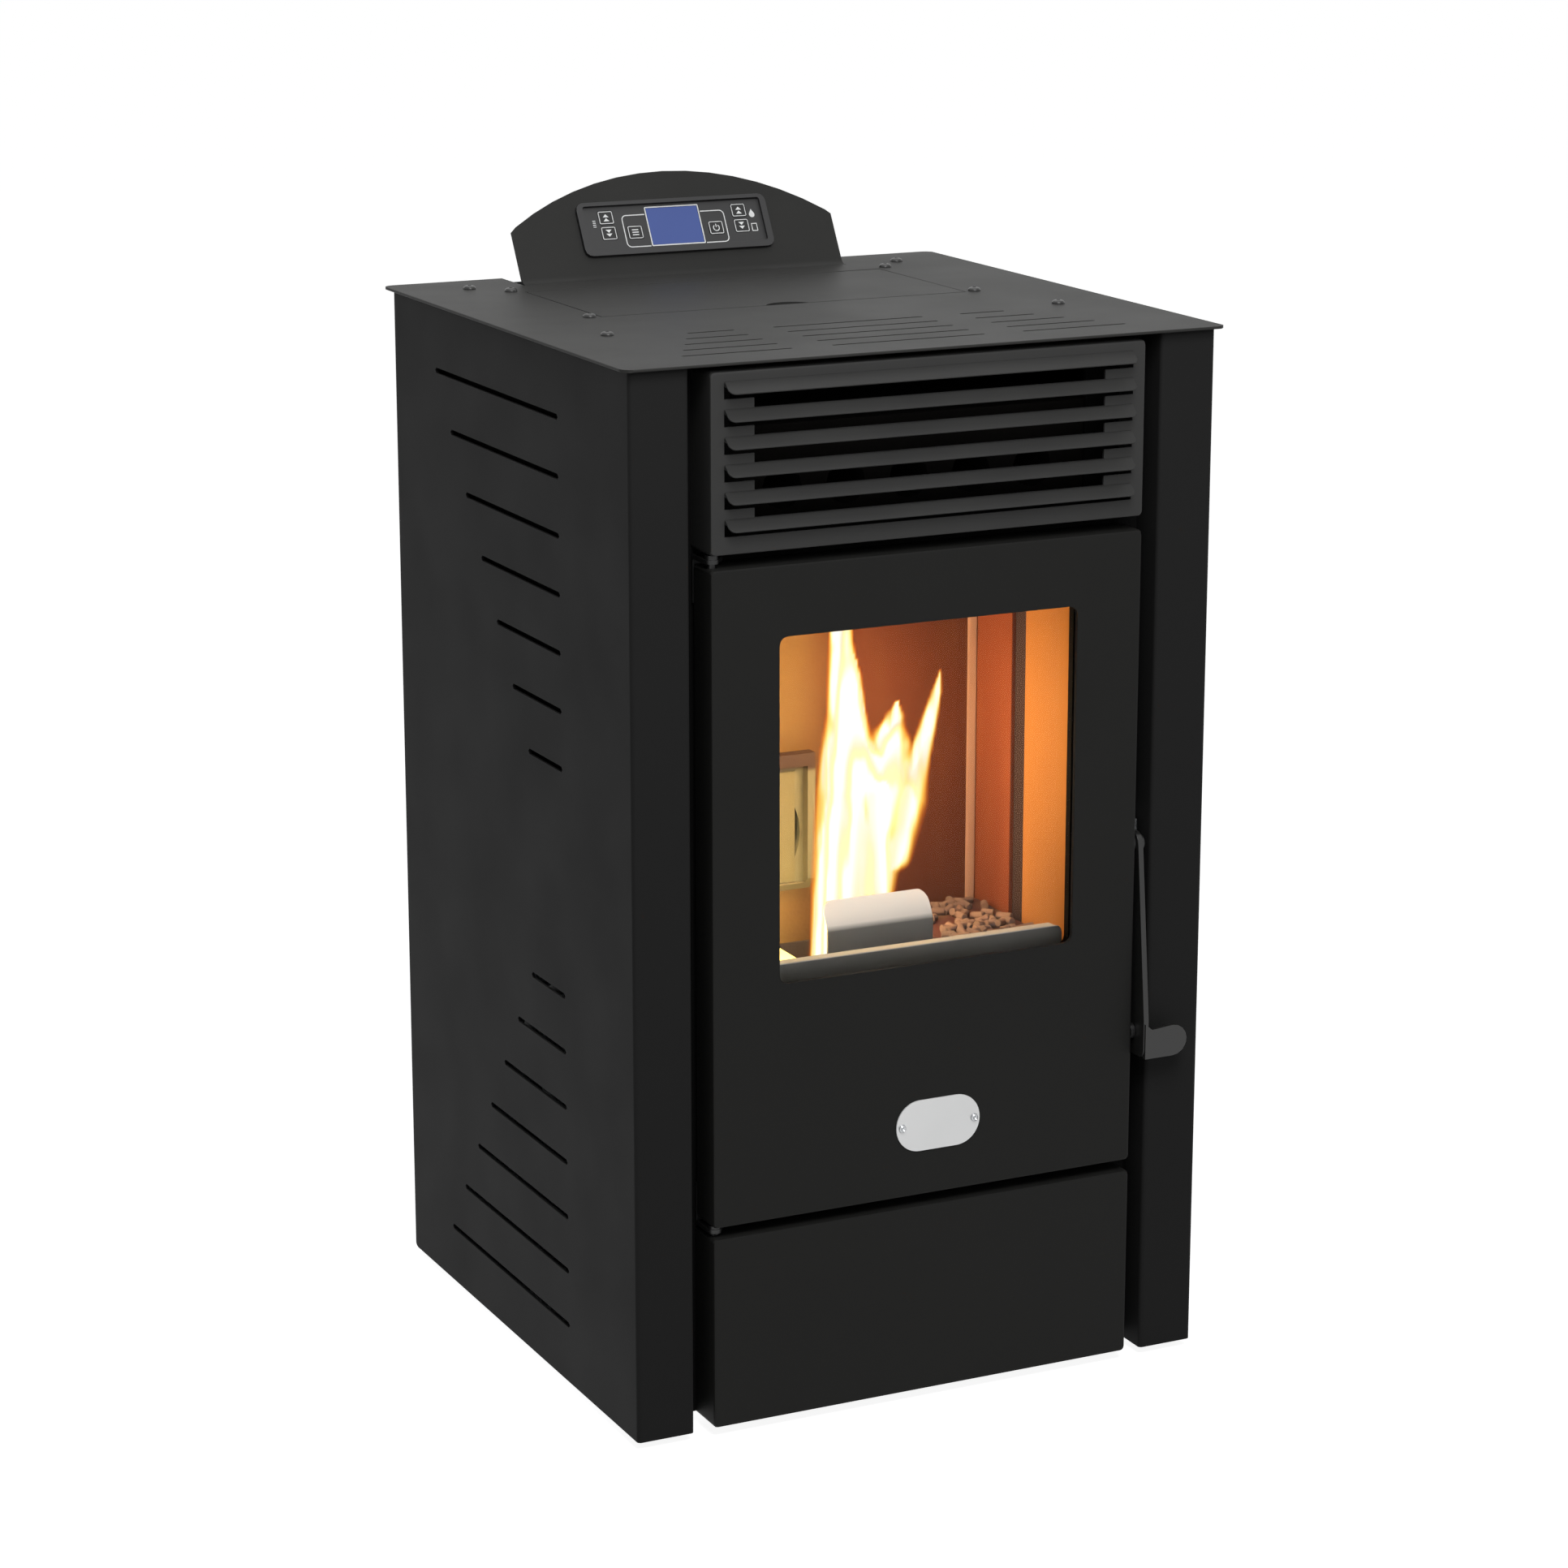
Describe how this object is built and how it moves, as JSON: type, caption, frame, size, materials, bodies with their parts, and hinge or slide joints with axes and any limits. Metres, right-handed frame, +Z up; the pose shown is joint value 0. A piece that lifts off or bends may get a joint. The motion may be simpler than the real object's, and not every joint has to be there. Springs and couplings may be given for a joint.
{
  "type": "pellet stove",
  "caption": "Freestanding pellet stove with a glazed hinged door, louvred warm-air outlet, lidded hopper in the worktop and an upturned control panel at the rear.",
  "frame": {"origin": "on the floor, in the middle of the stove's bounding box", "axes": "+Z up; the front with the door faces -Y; +X is to the right for someone facing the door"},
  "size_m": [0.456, 0.496, 0.829],
  "materials": {
    "casing_black": "fine-textured satin black stove paint",
    "worktop_grey": "satin dark grey stove paint on sheet steel",
    "door_black": "textured matt black stove paint",
    "grille_grey": "satin dark grey stove paint",
    "galvanised_steel": "dull galvanised sheet steel",
    "firebox_steel": "heat-darkened plate steel",
    "stainless_steel": "bright stainless sheet",
    "zinc_steel": "bright zinc-plated steel",
    "cast_iron": "matt cast iron",
    "vermiculite": "rough pressed fire board",
    "motor_alloy": "die-cast alloy",
    "rubber_foot": "moulded rubber",
    "rope_grey": "woven glass-fibre rope",
    "black_plastic": "fine-grained black moulding",
    "key_plastic": "smooth black membrane",
    "lcd_blue": "back-lit blue display window",
    "circuit_green": "lacquered circuit board",
    "clear_glass": "clear heat-resistant glass ceramic"
  },
  "bodies": {
    "casing": {"base_tray": "galvanised_steel", "foot_front_left": "rubber_foot", "foot_front_right": "rubber_foot", "foot_rear_left": "rubber_foot", "foot_rear_right": "rubber_foot", "side_cover_left": "casing_black", "side_cover_right": "casing_black", "back_panel": "galvanised_steel", "top_plate": "worktop_grey", "display_bezel": "black_plastic", "lcd_window": "lcd_blue", "control_board": "circuit_green", "front_frame": "casing_black", "front_grille": "grille_grey", "plinth_panel": "door_black", "hinge_upper": "zinc_steel", "hinge_lower": "zinc_steel", "latch_keeper": "zinc_steel", "firebox_shell": "firebox_steel", "hearth_plate": "cast_iron", "back_liner": "vermiculite", "side_liner_right": "vermiculite", "side_liner_left": "vermiculite", "baffle_plate": "vermiculite", "ash_drawer": "galvanised_steel", "igniter": "stainless_steel", "hopper": "galvanised_steel", "hopper_grid": "zinc_steel", "auger_tube": "galvanised_steel", "auger_gearmotor": "motor_alloy", "smoke_duct": "galvanised_steel", "exhaust_fan_housing": "galvanised_steel", "exhaust_motor": "motor_alloy", "flue_pipe": "casing_black", "air_intake_pipe": "galvanised_steel", "room_fan_housing": "galvanised_steel", "room_fan_motor": "motor_alloy", "power_inlet": "black_plastic"},
    "door": {"door_panel": "door_black", "door_glass": "clear_glass", "door_inner_frame": "cast_iron", "door_rope_gasket": "rope_grey", "door_window_rail": "cast_iron", "handle_pivot_bolt": "zinc_steel", "handle_guide_stud": "zinc_steel"},
    "handle": {"handle_lever": "casing_black"},
    "lid": {"hopper_lid": "worktop_grey", "lid_hinge_rod": "zinc_steel"},
    "pot": {"burn_pot": "cast_iron", "flame_guard": "stainless_steel"},
    "auger": {"auger_screw": "zinc_steel"},
    "exhaust_fan": {"exhaust_impeller": "stainless_steel"},
    "room_fan": {"room_fan_wheel": "motor_alloy"},
    "key_1": {"key_left_up": "key_plastic"},
    "key_2": {"key_left_down": "key_plastic"},
    "key_3": {"key_menu": "key_plastic"},
    "key_4": {"key_power": "key_plastic"},
    "key_5": {"key_right_up": "key_plastic"},
    "key_6": {"key_right_down": "key_plastic"},
    "rocker": {"rocker_switch": "key_plastic"}
  },
  "joints": [
    {"name": "door_hinge", "type": "hinge", "parent": "casing", "child": "door", "pos_m": [-0.16, -0.225, 0.386], "axis": [0, 0, -1], "range_deg": [0, 110]},
    {"name": "handle_pivot", "type": "hinge", "parent": "door", "child": "handle", "pos_m": [0.1705, -0.224, 0.389], "axis": [-1, 0, 0], "range_deg": [0, 35]},
    {"name": "lid_hinge", "type": "hinge", "parent": "casing", "child": "lid", "pos_m": [0, 0.125, 0.7517], "axis": [-1, 0, 0], "range_deg": [0, 85]},
    {"name": "pot_lift", "type": "slide", "parent": "casing", "child": "pot", "axis": [0, 0, 1], "range_m": [0, 0.06]},
    {"name": "auger_spin", "type": "hinge", "parent": "casing", "child": "auger", "pos_m": [-0.036, 0.112, 0.313], "axis": [0, -0.7071, 0.7071], "continuous": true},
    {"name": "exhaust_fan_spin", "type": "hinge", "parent": "casing", "child": "exhaust_fan", "pos_m": [-0.087, 0.09, 0.13], "axis": [1, 0, 0], "continuous": true},
    {"name": "room_fan_spin", "type": "hinge", "parent": "casing", "child": "room_fan", "pos_m": [0, -0.125, 0.086], "axis": [1, 0, 0], "continuous": true},
    {"name": "key_left_up_press", "type": "slide", "parent": "casing", "child": "key_1", "axis": [0, 0.866, -0.5], "range_m": [0, 0.0004], "stiffness_N_per_m": 600, "springref_m": -0.001},
    {"name": "key_left_down_press", "type": "slide", "parent": "casing", "child": "key_2", "axis": [0, 0.866, -0.5], "range_m": [0, 0.0004], "stiffness_N_per_m": 600, "springref_m": -0.001},
    {"name": "key_menu_press", "type": "slide", "parent": "casing", "child": "key_3", "axis": [0, 0.866, -0.5], "range_m": [0, 0.0004], "stiffness_N_per_m": 600, "springref_m": -0.001},
    {"name": "key_power_press", "type": "slide", "parent": "casing", "child": "key_4", "axis": [0, 0.866, -0.5], "range_m": [0, 0.0004], "stiffness_N_per_m": 600, "springref_m": -0.001},
    {"name": "key_right_up_press", "type": "slide", "parent": "casing", "child": "key_5", "axis": [0, 0.866, -0.5], "range_m": [0, 0.0004], "stiffness_N_per_m": 600, "springref_m": -0.001},
    {"name": "key_right_down_press", "type": "slide", "parent": "casing", "child": "key_6", "axis": [0, 0.866, -0.5], "range_m": [0, 0.0004], "stiffness_N_per_m": 600, "springref_m": -0.001},
    {"name": "rocker_tilt", "type": "hinge", "parent": "casing", "child": "rocker", "pos_m": [0.165, 0.197, 0.058], "axis": [1, 0, 0], "range_deg": [0, 20]}
  ]
}
